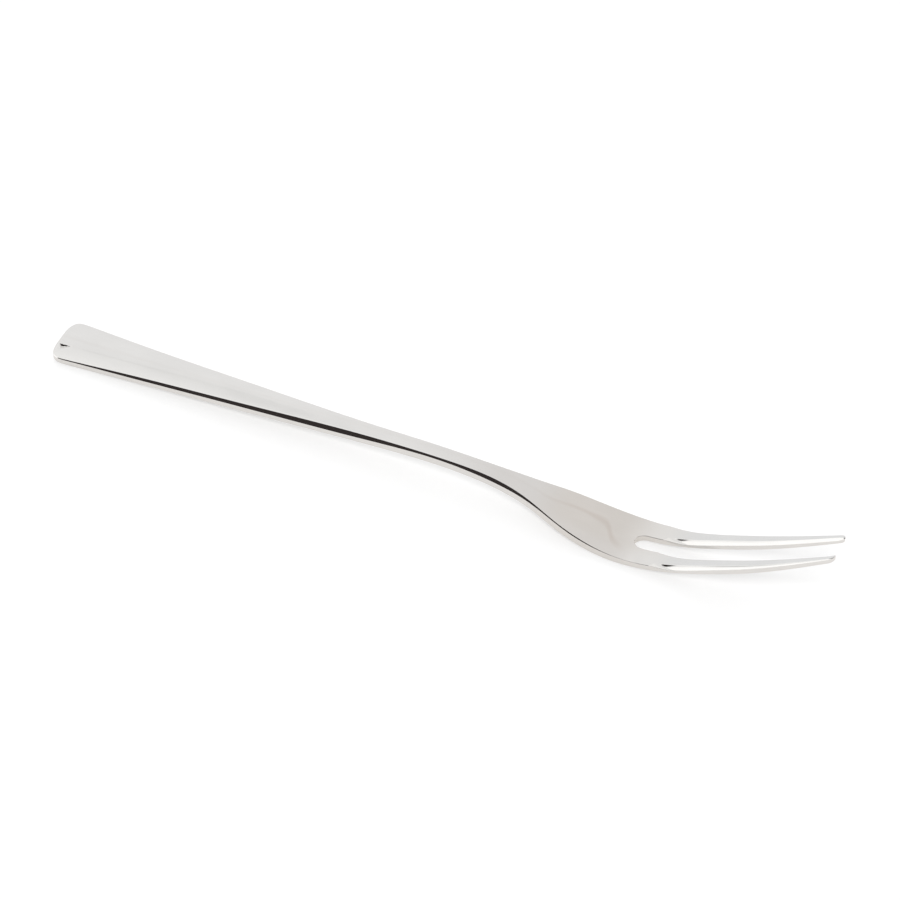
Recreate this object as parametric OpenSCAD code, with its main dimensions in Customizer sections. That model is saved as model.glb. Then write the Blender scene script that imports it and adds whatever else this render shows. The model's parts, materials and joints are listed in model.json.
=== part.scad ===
// Two-tined oyster fork in polished steel, lying face up on its handle end and its belly.
// Sections are measured along the fork from the handle's end, and meet face to face.

/* [Lengths along the fork] */
// Handle, from its end to the neck
handle_length = 64; // [48:1:90]
// Neck, from the handle to the head
neck_length = 28; // [22:1:40]
// Head, from the neck to where the tines leave it
head_length = 26; // [22:1:36]
// Tines, from the head to their tips
tine_length = 32; // [22:1:45]
// How far the rounding of the handle's end reaches along it
end_round_length = 3.6; // [2:0.2:6]
// How far the panel on the handle reaches before it has closed to a line
panel_length = 38; // [20:1:60]
// How far the slot between the tines reaches back into the head
slot_depth = 4.8; // [3:0.2:8]
// How far the rounding of the slot's root reaches along it
slot_round_length = 2; // [1:0.2:3]
// How far the rounding of a tine's tip reaches along it
tip_round_length = 1.2; // [0.6:0.2:3]

/* [Widths across the fork] */
// Handle at its end
handle_end_width = 9.8; // [7:0.1:14]
// Half of the raised panel on the handle, at its end
panel_half_width = 1.5; // [0.5:0.1:2.4]
// Neck at its waist, the narrowest place
neck_width = 3.2; // [2.4:0.1:6]
// Head at its widest
head_width = 10.2; // [8.5:0.1:15]
// Both tines together, outside to outside, near their roots
root_span = 9.35; // [8.4:0.05:12]
// Both tines together, halfway along
middle_span = 8.1; // [7.4:0.05:11]
// Both tines together, at their tips
tip_span = 5.85; // [5.6:0.05:9]
// Gap between the tines at the slot's root
root_gap = 3; // [2:0.1:3.6]
// Gap between the tines at their tips
tip_gap = 3.75; // [2.4:0.05:4.2]

/* [Heights of the upper face above the table] */
// Handle at its end
handle_end_height = 1.2; // [0.9:0.05:2.5]
// Crest of the neck
crest_height = 6.6; // [4:0.1:10]
// Belly of the head, which rests on the table
belly_height = 1.6; // [1.2:0.05:2.4]
// Tips of the tines
tip_height = 18.1; // [10:0.1:25]
// Rise of the panel along the middle of the handle's upper face, at the end
panel_rise = 0.2; // [0.05:0.05:0.5]

/* [Thickness of the steel] */
// Handle at its end, before its underside is flattened to rest
handle_end_thickness = 1.4; // [1.2:0.05:2.6]
// Middle of the handle
handle_thickness = 1.75; // [1.4:0.05:3]
// Neck
neck_thickness = 2; // [1.4:0.05:3]
// Belly of the head, before its underside is flattened to rest
belly_thickness = 1.6; // [1.2:0.05:2.6]
// Where the tines leave the head
root_thickness = 1.35; // [1.1:0.05:2.2]
// Tines, where they are deepest
tine_thickness = 1.7; // [1.3:0.05:2.4]
// Tips of the tines
tip_thickness = 1.25; // [0.9:0.05:2]
// Rounding between the sides and the underside
edge_round = 0.35; // [0.1:0.05:0.5]

/* [Bevels between the upper face and the sides] */
// Handle at its end
handle_end_bevel = 0.14; // [0.05:0.01:0.3]
// Handle near the neck
handle_bevel = 0.48; // [0.2:0.02:0.6]
// Waist of the neck
waist_bevel = 0.33; // [0.15:0.01:0.6]
// Where the neck flares into the head
flare_bevel = 0.5; // [0.2:0.05:0.6]
// Head, where it is widest
head_bevel = 0.05; // [0.03:0.01:0.3]
// Tines, a little way on from where their bevels start
tine_bevel = 0.76; // [0.2:0.02:0.8]
// Tips of the tines, on their outer sides
tip_bevel = 0.12; // [0.06:0.02:0.4]
// Tips of the tines, on the sides that face the gap
inner_tip_bevel = 0.38; // [0.1:0.02:0.5]

/* [Smoothness] */
// Distance between the rings that the faces are drawn through
ring_step = 2; // [1:0.5:4]
// Straight steps in each small rounding
round_steps = 3; // [2:1:6]

/* [Hidden] */

neck_start = handle_length;
head_start = neck_start + neck_length;
tine_start = head_start + head_length;
fork_length = tine_start + tine_length;
slot_root = tine_start - slot_depth;

// Rings drawn through the rounding of an end
end_rings = 7;
// Share of an end's width that is left as its blunt face
blunt_share = 0.45;
// Share of a tip's rounding that its outer side takes, and of its height that its end keeps
outer_round_share = 0.75;
tip_height_share = 0.7;
// Power of the curve that rounds an end: two is an ellipse, more is squarer
handle_end_power = 3.8;
tip_power = 2.2;
// Share of its side that a small rounding may take
round_limit_share = 0.45;
// Fall of a bevel as a share of its width
bevel_fall_share = 1.15;

// Each pair is a place along a section, as a share of its length, and how much of the change
// from the first size to the second is made there, as a share of it
handle_width_shares = [[0, 0], [0.31, 0.325], [0.62, 0.6], [0.94, 0.87]];
waist_place_share = 0.46;
flare_width_shares = [[0.86, 0.125], [1.1, 0.37], [1.29, 0.71]];
widest_place_share = 0.7;
root_span_share = 0.16;
middle_span_share = 0.56;
deepest_share = 0.25;
handle_height_shares = [[0, 0], [0.62, 0.53], [1, 0.86]];
crest_place_share = 0.57;
fall_height_shares = [[1, 0.18], [1.32, 0.65]];
belly_place_share = 0.73;
tine_height_shares = [[0.125, 0.112], [0.3, 0.262], [0.56, 0.507], [1, 1]];
handle_middle_share = 0.55;
panel_end_share = 1.05;
// Least half width of the panel, as a share of the width at its end
panel_line_share = 0.3;
tine_gap_shares = [[0, 0], [0.2, 0.45], [0.56, 0.85], [1, 1]];
bevel_handle_shares = [[0, 0], [0.25, 0.4], [0.6, 0.82], [0.9, 1]];
flare_place_share = 0.85;
shoulder_bevel_shares = [[0.27, 0.74], [0.46, 0.74]];
// Where the tines' bevels have opened to their full width, and then to their full fall
bevel_width_share = 0.02;
bevel_full_share = 0.085;

function mix(a, b, share) = a + (b - a) * share;
function on_handle(share) = handle_length * share;
function on_neck(share) = neck_start + neck_length * share;
function on_head(share) = head_start + head_length * share;
function on_tines(share) = tine_start + tine_length * share;

// A smooth curve through points: a natural cubic spline, as rows of place, value and bend
function swept(p, i = 1, rows = [[0, 0]]) =
    i > len(p) - 2 ? rows :
    let (before = p[i][0] - p[i - 1][0],
         after = p[i + 1][0] - p[i][0],
         turn = (p[i + 1][1] - p[i][1]) / after - (p[i][1] - p[i - 1][1]) / before,
         pivot = 2 * (before + after) - before * rows[i - 1][0])
    swept(p, i + 1, concat(rows, [[after / pivot, (6 * turn - before * rows[i - 1][1]) / pivot]]));
function bends(rows, i, found) =
    i < 0 ? found : bends(rows, i - 1, concat([rows[i][1] - rows[i][0] * found[0]], found));
function curve(p) =
    let (m = bends(swept(p), len(p) - 2, [0]))
    [for (i = [0 : len(p) - 1]) [p[i][0], p[i][1], m[i]]];
function on(c, s) =
    let (i = max([for (k = [0 : len(c) - 2]) if (k == 0 || c[k][0] <= s) k]),
         span = c[i + 1][0] - c[i][0],
         a = (c[i + 1][0] - s) / span,
         b = 1 - a)
    a * c[i][1] + b * c[i + 1][1]
        + ((pow(a, 3) - a) * c[i][2] + (pow(b, 3) - b) * c[i + 1][2]) * span * span / 6;

// Outline seen from above, as half widths
side_curve = curve(concat(
    [for (p = handle_width_shares) [on_handle(p[0]), mix(handle_end_width, neck_width, p[1]) / 2]],
    [[on_neck(waist_place_share), neck_width / 2]],
    [for (p = flare_width_shares) [on_neck(p[0]), mix(neck_width, head_width, p[1]) / 2]],
    [[on_head(widest_place_share), head_width / 2]],
    [[on_tines(root_span_share), root_span / 2]],
    [[on_tines(middle_span_share), middle_span / 2]],
    [[fork_length, tip_span / 2]]));
gap_curve = curve(concat(
    [[slot_root, root_gap / 2]],
    [for (p = tine_gap_shares) [on_tines(p[0]), mix(root_gap, tip_gap, p[1]) / 2]]));

// Heights of the upper face, and the steel under it
top_curve = curve(concat(
    [for (p = handle_height_shares) [on_handle(p[0]), mix(handle_end_height, crest_height, p[1])]],
    [[on_neck(crest_place_share), crest_height]],
    [for (p = fall_height_shares) [on_neck(p[0]), mix(crest_height, belly_height, p[1])]],
    [[on_head(belly_place_share), belly_height]],
    [for (p = tine_height_shares) [on_tines(p[0]), mix(belly_height, tip_height, p[1])]]));
thickness_curve = curve([
    [0, handle_end_thickness],
    [on_handle(handle_middle_share), handle_thickness],
    [on_neck(crest_place_share), neck_thickness],
    [on_head(belly_place_share), belly_thickness],
    [tine_start, root_thickness],
    [on_tines(deepest_share), tine_thickness],
    [fork_length, tip_thickness]]);
bevel_curve = curve(concat(
    [for (p = bevel_handle_shares) [on_handle(p[0]), mix(handle_end_bevel, handle_bevel, p[1])]],
    [[on_neck(waist_place_share), waist_bevel]],
    [[on_neck(flare_place_share), flare_bevel]],
    [for (p = shoulder_bevel_shares) [on_head(p[0]), mix(flare_bevel, head_bevel, p[1])]],
    [[on_head(widest_place_share), head_bevel], [tine_start, head_bevel]]));

// Width that a rounded end leaves at a distance from it, as a share of the full width
function end_share(s, reach, power) =
    let (nip = reach * (1 - pow(1 - pow(blunt_share, power), 1 / power)),
         u = min(1, (s + nip) / reach))
    pow(1 - pow(1 - u, power), 1 / power);
// Places from a rounded end inwards at which its width grows by even steps
function end_places(reach, power) =
    let (nip = reach * (1 - pow(1 - pow(blunt_share, power), 1 / power)))
    [for (k = [0 : end_rings - 1])
        let (share = mix(blunt_share, 1, sin(90 * k / end_rings)))
        reach * (1 - pow(1 - pow(share, power), 1 / power)) - nip];
function even_places(from, to) =
    let (n = max(2, ceil((to - from) / ring_step)))
    [for (k = [0 : n]) mix(from, to, k / n)];

// The bevels of the tines are soon wide, then sink in, and narrow towards the tips
function tine_bevel_at(s, at_tip, reach) =
    let (share = (s - tine_start) / tine_length,
         opening = 1 - pow(1 - max(0, min(1, share / reach)), 2),
         narrowing = max(0, share - bevel_full_share) / (1 - bevel_full_share))
    mix(head_bevel, mix(tine_bevel, at_tip, narrowing), opening);
function bevel(s) = max(head_bevel / 2, on(bevel_curve, s));
function top(s) = on(top_curve, s);
// The underside is flattened where it would sink into the table
function underside(s) = max(0, top(s) - on(thickness_curve, s));
function panel_height(s) = top(s) + panel_rise * max(0, 1 - s / on_handle(panel_end_share));
function panel_side(s) = panel_half_width * max(panel_line_share, 1 - s / panel_length);
function handle_side(s) = on(side_curve, s) * end_share(s, end_round_length, handle_end_power);
function gap_side(s) =
    let (u = min(1, (s - slot_root) / slot_round_length))
    on(gap_curve, s) * sqrt(1 - pow(1 - u, 2));

// A quarter round of the underside's edge, from the side inwards
function quarter(y, z, r, outward) =
    [for (k = [0 : round_steps])
        let (a = 90 * k / round_steps)
        [y - outward * r * (1 - cos(a)), z + r * (1 - sin(a))]];

// Half of a section across the handle, neck or head, from the upper face down to the underside
function half_section(s) =
    let (side = handle_side(s), b = bevel(s), z = top(s), low = underside(s),
         r = min(edge_round, (z - b * bevel_fall_share - low) * round_limit_share))
    concat([[side - b, z], [side, z - b * bevel_fall_share]], quarter(side, low, r, 1));
function body_section(s) =
    let (half = half_section(s), n = len(half))
    concat(half, [for (i = [n - 1 : -1 : 0]) [-half[i][0], half[i][1]]]);
function panelled_section(s) =
    concat([for (side = [-1, 1]) [side * panel_side(s), panel_height(s)]], body_section(s));

// A section across one tine, whose tip is rounded in width and from below
function tine_section(s) =
    let (share = end_share(fork_length - s, tip_round_length, tip_power),
         full = on(side_curve, s) - gap_side(s),
         narrowing = full * (1 - share),
         outer = on(side_curve, s) - narrowing * outer_round_share,
         inner = outer - full * share,
         z = top(s),
         low = mix(z, underside(s), mix(tip_height_share, 1, share)),
         on_head = s <= tine_start,
         b = on_head ? bevel(s) : tine_bevel_at(s, tip_bevel, bevel_width_share) * share,
         inner_b = tine_bevel_at(s, inner_tip_bevel, bevel_width_share) * share,
         fall_share = bevel_fall_share * share,
         fall = on_head ? b * bevel_fall_share
             : tine_bevel_at(s, tip_bevel, bevel_full_share) * fall_share,
         inner_fall = tine_bevel_at(s, inner_tip_bevel, bevel_full_share) * fall_share,
         r = min(edge_round, (z - max(fall, inner_fall) - low) * round_limit_share,
             (outer - inner) * round_limit_share),
         inner_round = quarter(inner, low, r, -1))
    concat(
        [[inner + inner_b, z], [outer - b, z], [outer, z - fall]],
        quarter(outer, low, r, 1),
        [for (k = [round_steps : -1 : 0]) inner_round[k]],
        [[inner, z - inner_fall]]);

// A solid drawn through rings of points that lie across the fork
module loft(places, rings) {
    n = len(rings[0]);
    last = len(rings) - 1;
    points = [for (k = [0 : last]) for (p = rings[k]) [places[k] - fork_length / 2, p[0], p[1]]];
    sides = [for (k = [0 : last - 1]) for (i = [0 : n - 1])
        let (j = (i + 1) % n, a = k * n + i, b = k * n + j, c = a + n, d = b + n)
        each [[a, b, d], [a, d, c]]];
    first_cap = [for (i = [n - 1 : -1 : 0]) i];
    last_cap = [for (i = [0 : n - 1]) last * n + i];
    polyhedron(points, concat([first_cap, last_cap], sides));
}

module tine(places, side) {
    rings = [for (s = places) tine_section(s)];
    if (side > 0) loft(places, rings);
    else mirror([0, 1, 0]) loft(places, rings);
}

module handle() {
    places = concat(end_places(end_round_length, handle_end_power),
        even_places(end_round_length, neck_start));
    color("gainsboro") loft(places, [for (s = places) panelled_section(s)]);
}

module neck() {
    places = even_places(neck_start, head_start);
    color("gainsboro") loft(places, [for (s = places) body_section(s)]);
}

module head() {
    root_places = [for (k = [0 : end_rings])
        slot_root + slot_round_length * (1 - cos(90 * k / end_rings))];
    lobe_places = concat(root_places, [for (s = even_places(slot_root, tine_start))
        if (s > slot_root + slot_round_length) s]);
    blade_places = even_places(head_start, slot_root);
    color("gainsboro") union() {
        loft(blade_places, [for (s = blade_places) body_section(s)]);
        for (side = [-1, 1]) tine(lobe_places, side);
    }
}

module tine_left() {
    tip_places = end_places(tip_round_length, tip_power);
    opening_end = on_tines(bevel_full_share);
    places = concat([tine_start], [for (share = [0.3, 1]) on_tines(bevel_width_share * share)],
        [for (k = [1 : 3]) mix(on_tines(bevel_width_share), opening_end, k / 3)],
        [for (s = even_places(opening_end, fork_length - tip_round_length)) if (s > opening_end) s],
        [for (k = [len(tip_places) - 1 : -1 : 0]) fork_length - tip_places[k]]);
    color("gainsboro") tine(places, 1);
}

module tine_right() {
    mirror([0, 1, 0]) tine_left();
}

handle();
neck();
head();
tine_left();
tine_right();
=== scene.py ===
"""Oyster fork in polished steel on a white table: five pieces of one forging, a small studio
and a camera."""

import json
import math

import bpy
import numpy as np
from bpy.props import FloatProperty, FloatVectorProperty, IntProperty
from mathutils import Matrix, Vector


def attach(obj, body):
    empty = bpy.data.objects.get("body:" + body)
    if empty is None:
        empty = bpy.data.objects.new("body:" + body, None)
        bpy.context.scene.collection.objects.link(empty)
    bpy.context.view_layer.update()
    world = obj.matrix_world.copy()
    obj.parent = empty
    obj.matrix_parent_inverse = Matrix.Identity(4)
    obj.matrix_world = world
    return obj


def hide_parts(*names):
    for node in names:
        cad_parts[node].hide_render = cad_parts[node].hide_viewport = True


bl_info = {
    "name": "Oyster fork",
    "version": (1, 0, 0),
    "blender": (4, 5, 0),
    "location": "View3D > Sidebar > Oyster fork",
    "description": "Builds a two-tined oyster fork in polished steel, with its table and its light",
    "category": "Object",
}

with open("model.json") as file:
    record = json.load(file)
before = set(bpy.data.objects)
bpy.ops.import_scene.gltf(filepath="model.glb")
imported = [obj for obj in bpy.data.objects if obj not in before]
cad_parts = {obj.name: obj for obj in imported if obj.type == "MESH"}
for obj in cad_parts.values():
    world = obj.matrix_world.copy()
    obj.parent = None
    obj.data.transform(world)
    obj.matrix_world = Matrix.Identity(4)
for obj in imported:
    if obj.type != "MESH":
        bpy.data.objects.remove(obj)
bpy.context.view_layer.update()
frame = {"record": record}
FINISH = frame["record"]["materials"][0]
ROOT_BODY = "root"
MM = 0.001
LEFT, RIGHT = 0, 1

# Shares that shape the curves between the named sizes. Each pair is a place along a section,
# as a share of its length, and how much of the change from one size to the next is made there
HANDLE_WIDTH_SHARES = ((0, 0), (0.31, 0.325), (0.62, 0.6), (0.94, 0.87))
FLARE_WIDTH_SHARES = ((0.86, 0.125), (1.1, 0.37), (1.29, 0.71))
TINE_GAP_SHARES = ((0, 0), (0.2, 0.45), (0.56, 0.85), (1, 1))
HANDLE_HEIGHT_SHARES = ((0, 0), (0.62, 0.53), (1, 0.86))
FALL_HEIGHT_SHARES = ((1, 0.18), (1.32, 0.65))
TINE_HEIGHT_SHARES = ((0.125, 0.112), (0.3, 0.262), (0.56, 0.507), (1, 1))
BEVEL_HANDLE_SHARES = ((0, 0), (0.1, 0.2), (0.25, 0.55), (0.6, 0.82), (0.95, 1))
SHOULDER_BEVEL_SHARES = ((0.27, 0.74), (0.46, 0.74))

# Places along a section, as shares of its length, where a named size holds
WAIST_SHARE = 0.46
CREST_SHARE = 0.57
FLARE_SHARE = 0.85
WIDEST_SHARE = 0.7
BELLY_SHARE = 0.73
ROOT_SPAN_SHARE = 0.16
MIDDLE_SPAN_SHARE = 0.56
DEEPEST_SHARE = 0.25
HANDLE_MIDDLE_SHARE = 0.55
PANEL_END_SHARE = 1.05

# Bevels of the tines, in shares of a tine's length: where a bevel is open, where it starts to
# narrow, the reach of those that open slowly, how fast the others sink in and where they stop
# being hollow. The last pair is how hollow they are at first and later, as a share of their fall
BEVEL_WIDTH_SHARE = 0.02
BEVEL_FULL_SHARE = 0.085
SLOW_OUTER_SHARE = 0.4
SLOW_INNER_SHARE = 0.25
QUICK_SINK_SHARE = 0.125
SLOW_SINK_SHARE = 0.2
HOLLOW_FADE_SHARES = (0.08, 0.15)
HOLLOW_SHARES = (1.1, 0.4)
BEVEL_FALL_SHARE = 1.15

# Powers of the ellipses that round the handle's end, a tip seen from above and its underside
HANDLE_END_POWER = 3.6
TIP_OUTLINE_POWER = 2.5
TIP_POWER = 2.2

# A tip: the share of its width that its outer side rounds, how much of the underside's rounding
# is left at the blunt end, the share of the thickness that it rounds down to, and how far its
# bevels and small roundings shrink
OUTER_ROUND_SHARE = 0.75
BLUNT_SHARE = 0.45
TIP_HEIGHT_SHARE = 0.7
TIP_EDGE_SCALE = 0.55

# Edge of the steel: the strip of flat face beside a bevel, the reach of the roundings at its rim
# and at the shoulder below it, the points that draw each part, and the most of a side and of
# the wall's height that a rounding may take
RIM_STRIP = 0.1 * MM
RIM_REACH = 0.035 * MM
SHOULDER_REACHES = (0.09 * MM, 0.12 * MM)
RIM_POINTS, BEVEL_POINTS, SHOULDER_POINTS, LOWER_EDGE_POINTS = 5, 9, 6, 7
MOST_CORNER_SHARE = 0.48
MOST_LOWER_EDGE_SHARE = 0.45

# Rows of points across the fork: the longest step between them along each part, how many draw
# each rounding, and the powers by which rows and points crowd together
HANDLE_STEP, NECK_STEP, HEAD_STEP = 0.8 * MM, 0.6 * MM, 0.5 * MM
ROOT_STEP, TINE_STEP = 0.35 * MM, 0.5 * MM
END_ROWS, SLOT_ROWS, TIP_ROWS = 34, 26, 20
END_CROWDING, SLOT_CROWDING, ROW_CROWDING = 1.6, 1.15, 1.3

# Points that follow the groove beside the panel: the least and the most share of a row that
# each may lie at, how often their places are refined, and the least opening that they follow
GROOVE_LEAST_SHARES = np.array((0.004, 0.008, 0.012))
GROOVE_MOST_SHARES = np.array((0.96, 0.975, 0.99))
GROOVE_ROUNDS = 4
GROOVE_LEAST_OPENING = 0.05

# Points closer than this are one point. The tiny values only keep a division from failing
WELD_DISTANCE = 0.0001 * MM
TINY_LENGTH = 1e-9
TINY_AREA = 1e-30


def length(name, description, millimetres):
    """A property that holds a length, given here in millimetres."""
    return FloatProperty(name=name, description=description, default=millimetres * MM,
                         min=0.0, subtype="DISTANCE", unit="LENGTH", precision=5)


class ForkPlan(bpy.types.PropertyGroup):
    """Lengths along the fork and widths across it"""

    handle_length: length("Handle", "From the handle's end to the neck", 64)
    neck_length: length("Neck", "From the handle to the head", 28)
    head_length: length("Head", "From the neck to where the tines leave it", 26)
    tine_length: length("Tines", "From the head to the tips", 32)
    end_round_length: length(
        "End rounding", "How far the rounding of the handle's end reaches", 3.6)
    slot_depth: length("Slot depth", "How far the slot reaches back into the head", 4.8)
    slot_round_length: length("Slot rounding", "How far the rounding of the slot's root reaches", 2)
    tip_round_length: length("Tip rounding", "How far the rounding of a tip reaches", 1.2)
    handle_end_width: length("Handle end width", "Handle at its end", 9.8)
    neck_width: length("Neck width", "Neck at its waist", 3.2)
    head_width: length("Head width", "Head at its widest", 10.2)
    root_span: length("Root span", "Both tines together, near their roots", 9.35)
    middle_span: length("Middle span", "Both tines together, halfway along", 8.1)
    tip_span: length("Tip span", "Both tines together, at their tips", 5.85)
    root_gap: length("Root gap", "Gap between the tines at the slot's root", 3)
    tip_gap: length("Tip gap", "Gap between the tines at their tips", 3.75)
    points_across: IntProperty(
        name="Points across", description="Points across each half of a flat face",
        min=7, default=27)


class ForkProfile(bpy.types.PropertyGroup):
    """Heights of the upper face, thickness of the steel and the small forms of its edges"""

    handle_end_height: length("Handle end height", "Upper face at the handle's end", 1.2)
    crest_height: length("Crest height", "Upper face at the crest of the neck", 6.6)
    belly_height: length("Belly height", "Upper face at the belly of the head", 1.6)
    tip_height: length("Tip height", "Upper face at the tips", 18.1)
    handle_end_thickness: length("Handle end thickness", "Steel at the handle's end", 1.4)
    handle_thickness: length("Handle thickness", "Steel at the middle of the handle", 1.75)
    neck_thickness: length("Neck thickness", "Steel at the crest of the neck", 2)
    belly_thickness: length("Belly thickness", "Steel at the belly of the head", 1.6)
    root_thickness: length("Root thickness", "Steel where the tines leave the head", 1.35)
    tine_thickness: length("Tine thickness", "Steel of the tines where they are deepest", 1.7)
    tip_thickness: length("Tip thickness", "Steel at the tips", 1.25)
    edge_round: length("Lower edge rounding", "Between the sides and the underside", 0.35)
    handle_end_bevel: length("Handle end bevel", "Bevel width at the handle's end", 0.08)
    handle_bevel: length("Handle bevel", "Bevel width of the handle near the neck", 0.54)
    waist_bevel: length("Waist bevel", "Bevel width at the waist of the neck", 0.31)
    flare_bevel: length("Flare bevel", "Bevel width where the neck flares into the head", 0.46)
    head_bevel: length("Head bevel", "Bevel width where the head is widest", 0.05)
    tine_bevel: length("Tine bevel", "Bevel width soon after the tines' bevels start", 0.76)
    tip_bevel: length("Tip bevel", "Bevel width at the tips, on their outer sides", 0.12)
    inner_tip_bevel: length("Inner tip bevel", "Bevel width at the tips, towards the gap", 0.38)
    panel_rise: length("Panel rise", "How far the panel on the handle stands above its rims", 0.2)
    panel_half_width: length(
        "Panel half width", "Half of the panel's width at the handle's end", 1.5)
    panel_length: length("Panel length", "Where the panel closes to a line", 38)
    crease_softness: length("Crease softness", "Rounding of the panel's creases", 0.12)
    groove_start: length("Groove start", "Where the groove beside the panel is fully open", 1.05)
    groove_end: length("Groove end", "Where the groove beside the panel has closed", 3.1)
    groove_width: length("Groove width", "Width of the groove's steep side", 0.31)
    groove_return: length("Groove return", "Width of the groove's slow side", 1.1)
    groove_depth: length("Groove depth", "Depth of the groove where it is fully open", 0.36)
    crown: length("Crown", "How far the upper face falls away towards its rims", 0.03)


class SteelLook(bpy.types.PropertyGroup):
    """Finish of the polished steel"""

    colour: FloatVectorProperty(
        name="Colour", description="Reflection of bare steel", subtype="COLOR", size=3,
        min=0, max=1, default=tuple(FINISH["base_color"]))
    roughness: FloatProperty(
        name="Roughness", description="Softness of the mirror", min=0, max=1, default=0.1)
    haze: FloatProperty(
        name="Haze", description="How much the polishing haze varies the roughness",
        min=0, max=1, default=0.1)
    # Painted reflection: a darker, warmer tone on the head that stands in for what the polished
    # head mirrors
    head_reflection_tint: FloatVectorProperty(
        name="Head reflection tint", description="Darker, warmer painted reflection on the head, as a share of the steel's colour",
        subtype="COLOR", size=3, min=0, max=1, default=(0.955, 0.932, 0.905))
    # A soft, curved arc on the head, darker than the rest of the steel
    dark_arc_tint: FloatVectorProperty(
        name="Dark arc tint", description="Darker arc on the head, as a share of the steel's colour",
        subtype="COLOR", size=3, min=0, max=1, default=(0.925, 0.9, 0.885))
    scratches: FloatProperty(
        name="Scratches", description="Depth of the polishing lines", min=0, max=1, default=0.12)


class Studio(bpy.types.PropertyGroup):
    """Table, light and camera"""

    table_colour: FloatVectorProperty(
        name="Table", description="Colour of the table", subtype="COLOR", size=3,
        min=0, max=1, default=(0.8, 0.8, 0.8))
    shadow_share: FloatProperty(
        name="Shadow share", description="How much of the table's brightness its light makes",
        min=0, max=1, default=0.575)
    distance: length("Distance", "Camera to the point that it looks at", 700)
    elevation: FloatProperty(
        name="Elevation", description="Camera above the table", subtype="ANGLE",
        default=math.radians(48))
    azimuth: FloatProperty(
        name="Azimuth", description="Camera round the fork", subtype="ANGLE",
        default=math.radians(25.34))
    focal_length: FloatProperty(
        name="Focal length", description="Camera lens, in millimetres on a 36 mm sensor",
        min=1, default=158.44)


def mix(a, b, share):
    return a + (b - a) * share


def smooth_curve(points):
    """A natural cubic spline through (place, value) points, as a function of place."""
    places, values = (np.array(column, float) for column in zip(*points))
    steps = np.diff(places)
    count = len(places)
    system, turns = np.eye(count), np.zeros(count)
    for i in range(1, count - 1):
        system[i, i - 1:i + 2] = steps[i - 1], 2 * (steps[i - 1] + steps[i]), steps[i]
        turns[i] = 6 * ((values[i + 1] - values[i]) / steps[i]
                        - (values[i] - values[i - 1]) / steps[i - 1])
    bends = np.linalg.solve(system, turns)

    def on(s):
        s = np.asarray(s, float)
        i = np.clip(np.searchsorted(places, s, side="right") - 1, 0, count - 2)
        a = (places[i + 1] - s) / steps[i]
        b = 1 - a
        return (a * values[i] + b * values[i + 1]
                + ((a ** 3 - a) * bends[i] + (b ** 3 - b) * bends[i + 1]) * steps[i] ** 2 / 6)
    return on


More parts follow.
